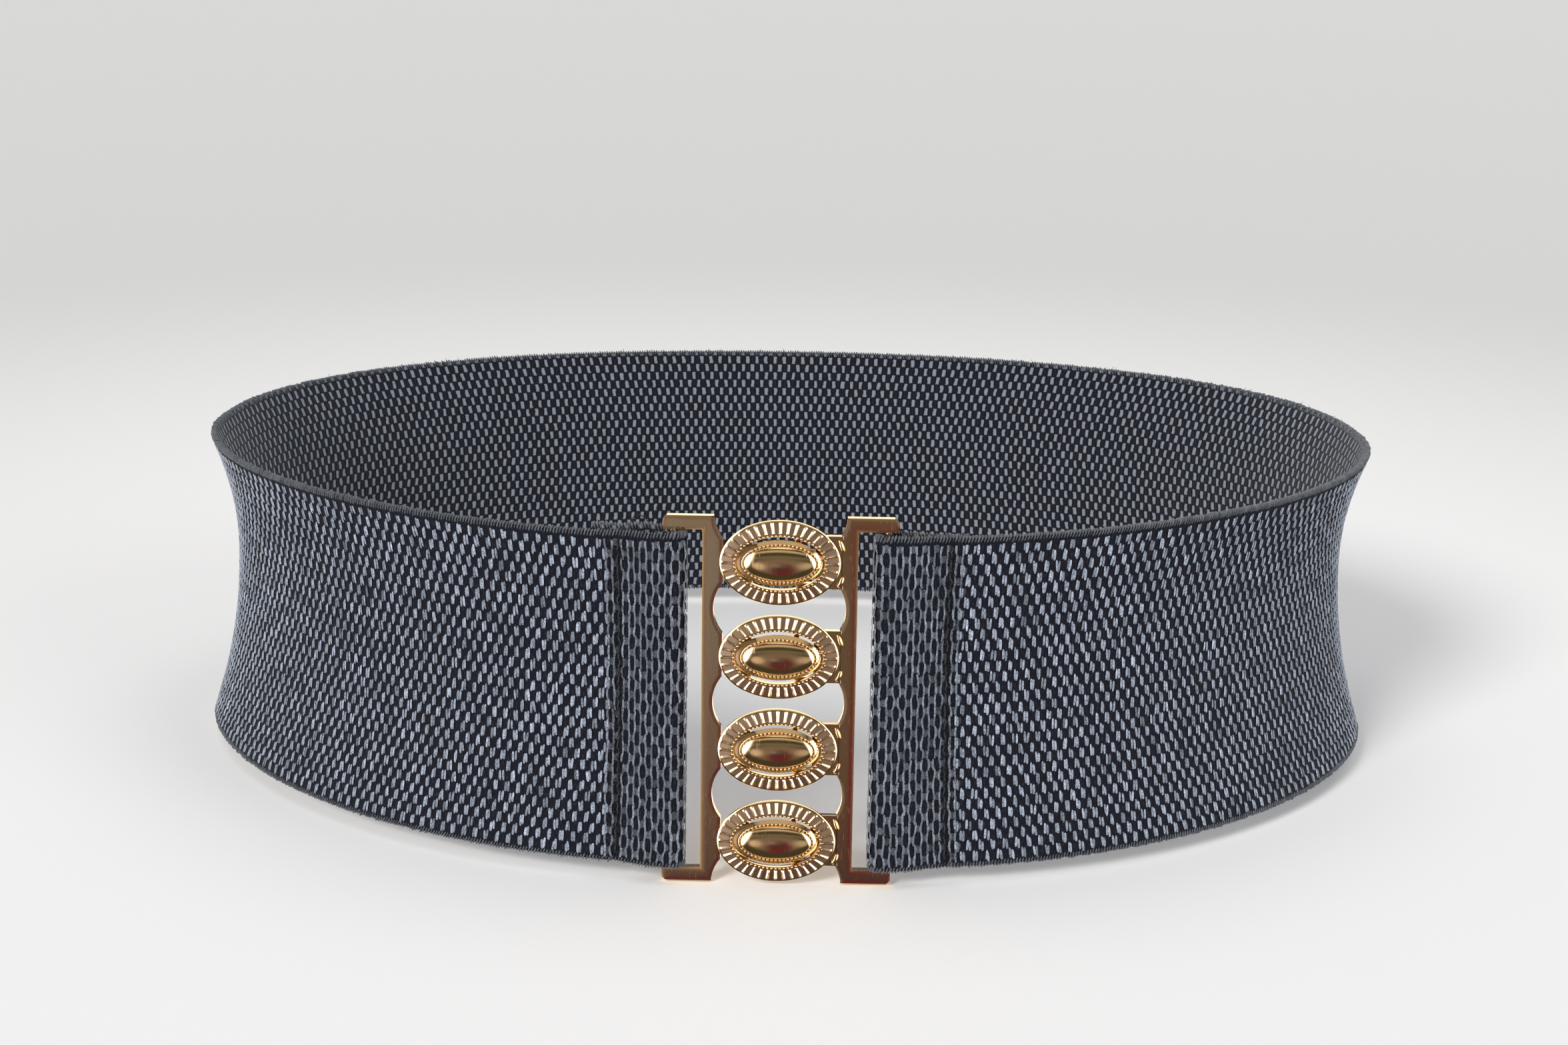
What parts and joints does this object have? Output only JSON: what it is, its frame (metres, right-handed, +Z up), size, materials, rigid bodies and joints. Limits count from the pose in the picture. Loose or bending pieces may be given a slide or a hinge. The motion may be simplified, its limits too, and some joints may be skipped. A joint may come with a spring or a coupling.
{
  "type": "elastic stretch belt",
  "caption": "Wide woven elastic waist belt, closed at the front by a two-part cast clasp with a column of pierced oval medallions.",
  "frame": {"origin": "middle of the waist that the belt goes round, halfway up the webbing", "axes": "+Z up along the belt's axis, +X to the wearer's left, -Y out through the clasp"},
  "size_m": [0.2972, 0.2029, 0.0824],
  "materials": {
    "elastic": "thick woven elastic, blue-grey and near black yarns, matt",
    "gold": "pale gold plate, polished"
  },
  "bodies": {
    "root": {"elastic_webbing": "elastic", "hook_half": "gold", "catch_half": "gold"}
  },
  "joints": []
}
